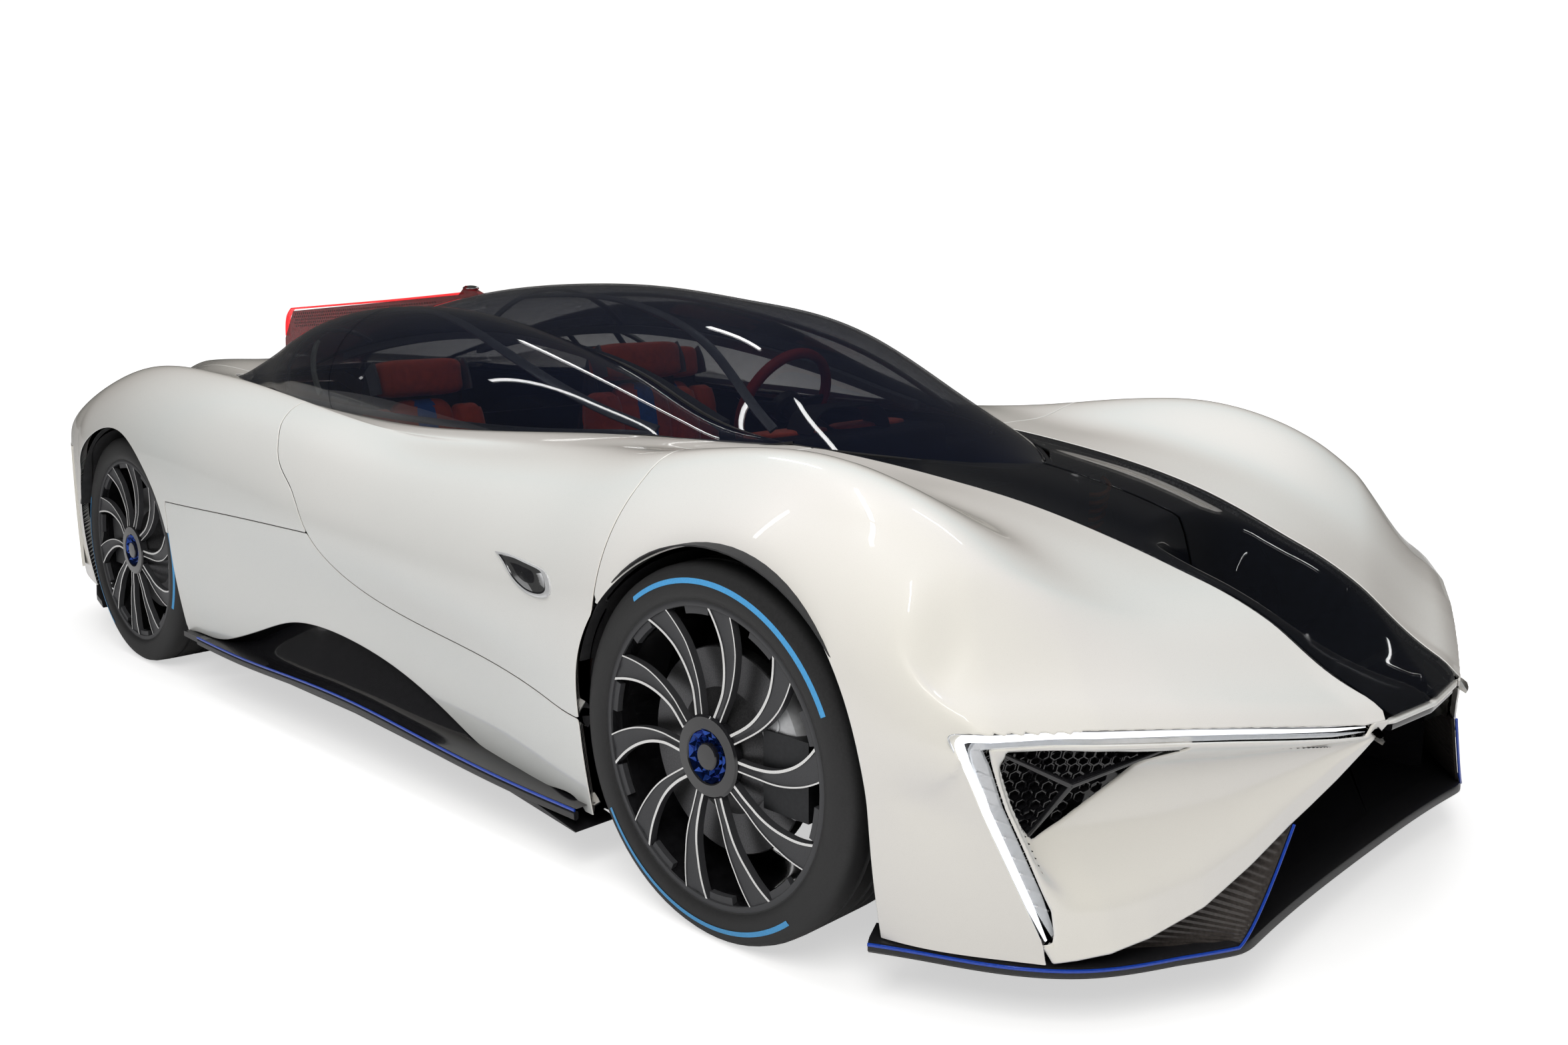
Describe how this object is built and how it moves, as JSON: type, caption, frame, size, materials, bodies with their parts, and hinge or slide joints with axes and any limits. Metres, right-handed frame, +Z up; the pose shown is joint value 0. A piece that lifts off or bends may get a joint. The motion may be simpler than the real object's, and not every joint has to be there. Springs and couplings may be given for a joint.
{
  "type": "supercar",
  "caption": "Low pearl white supercar with a triple bubble canopy, dark glass hood strip, V nose lamps, swirled rims, steering front wheels and two lifting doors.",
  "frame": {"origin": "on the ground, under the middle of the car's length and width", "axes": "+Z up, the nose points along -Y, +X is the car's left"},
  "size_m": [2.0362, 4.76, 1.2226],
  "materials": {
    "paint": "pearl gloss",
    "dark_glass": "smoked, gloss",
    "carbon": "black carbon",
    "black_plastic": "satin black",
    "lamp_white": "lit white lens",
    "lamp_red": "red lens",
    "red_plastic": "red gloss",
    "frame_metal": "satin",
    "engine": "cast",
    "seat": "rust red leather with blue stripes",
    "dash": "dark leather",
    "steering": "red leather rim",
    "steel": "machined",
    "tyre": "rubber",
    "rim": "dark with machined edges"
  },
  "bodies": {
    "chassis": {"tub": "carbon", "undertray": "carbon", "powerplant": "engine", "front_fender_left": "paint", "front_fender_right": "paint", "hood_glass": "dark_glass", "headlamps": "lamp_white", "nose_grilles": "black_plastic", "side_sills": "paint", "side_skirts": "black_plastic", "rear_quarter_left": "paint", "rear_quarter_right": "paint", "rear_deck": "paint", "dorsal_fin": "red_plastic", "tail_panel": "black_plastic", "tail_lamps": "lamp_red", "rear_diffuser": "carbon", "front_splitter": "carbon", "nose_duct": "black_plastic", "canopy_glass": "dark_glass", "quarter_glass": "dark_glass", "canopy_frame": "frame_metal", "driver_seat": "seat", "passenger_seats": "seat", "dashboard": "dash", "steering_column": "black_plastic", "front_suspension": "steel", "rear_suspension": "steel"},
    "door_left": {"door_panel_left": "paint", "door_glass_left": "dark_glass"},
    "door_right": {"door_panel_right": "paint", "door_glass_right": "dark_glass"},
    "handwheel": {"steering_wheel": "steering"},
    "upright_left": {"knuckle_left": "steel"},
    "upright_right": {"knuckle_right": "steel"},
    "roll_front_left": {"tyre_front_left": "tyre", "wheel_front_left": "rim"},
    "roll_front_right": {"tyre_front_right": "tyre", "wheel_front_right": "rim"},
    "roll_rear_left": {"tyre_rear_left": "tyre", "wheel_rear_left": "rim"},
    "roll_rear_right": {"tyre_rear_right": "tyre", "wheel_rear_right": "rim"}
  },
  "joints": [
    {"name": "door_left_lift", "type": "hinge", "parent": "chassis", "child": "door_left", "pos_m": [0.289, 0.3, 1.096], "axis": [0, -1, 0], "range_deg": [0, 68]},
    {"name": "door_right_lift", "type": "hinge", "parent": "chassis", "child": "door_right", "pos_m": [-0.289, 0.3, 1.096], "axis": [0, 1, 0], "range_deg": [0, 68]},
    {"name": "steer_left", "type": "hinge", "parent": "chassis", "child": "upright_left", "pos_m": [0.8545, -1.43, 0.364], "axis": [0, 0, 1], "range_deg": [-28, 28]},
    {"name": "steer_right", "type": "hinge", "parent": "chassis", "child": "upright_right", "pos_m": [-0.8545, -1.43, 0.364], "axis": [0, 0, 1], "range_deg": [-28, 28]},
    {"name": "handwheel_turn", "type": "hinge", "parent": "chassis", "child": "handwheel", "pos_m": [0, -0.67, 0.905], "axis": [0, 0.9063, 0.4226], "range_deg": [-337, 337]},
    {"name": "spin_front_left", "type": "hinge", "parent": "upright_left", "child": "roll_front_left", "pos_m": [0.8645, -1.43, 0.364], "axis": [1, 0, 0], "continuous": true},
    {"name": "spin_front_right", "type": "hinge", "parent": "upright_right", "child": "roll_front_right", "pos_m": [-0.8645, -1.43, 0.364], "axis": [1, 0, 0], "continuous": true},
    {"name": "spin_rear_left", "type": "hinge", "parent": "chassis", "child": "roll_rear_left", "pos_m": [0.8225, 1.35, 0.37], "axis": [1, 0, 0], "continuous": true},
    {"name": "spin_rear_right", "type": "hinge", "parent": "chassis", "child": "roll_rear_right", "pos_m": [-0.8225, 1.35, 0.37], "axis": [1, 0, 0], "continuous": true}
  ],
  "couplings": [
    {"joint": "steer_right", "follows": "steer_left", "ratio": 1},
    {"joint": "handwheel_turn", "follows": "steer_left", "ratio": 12}
  ]
}
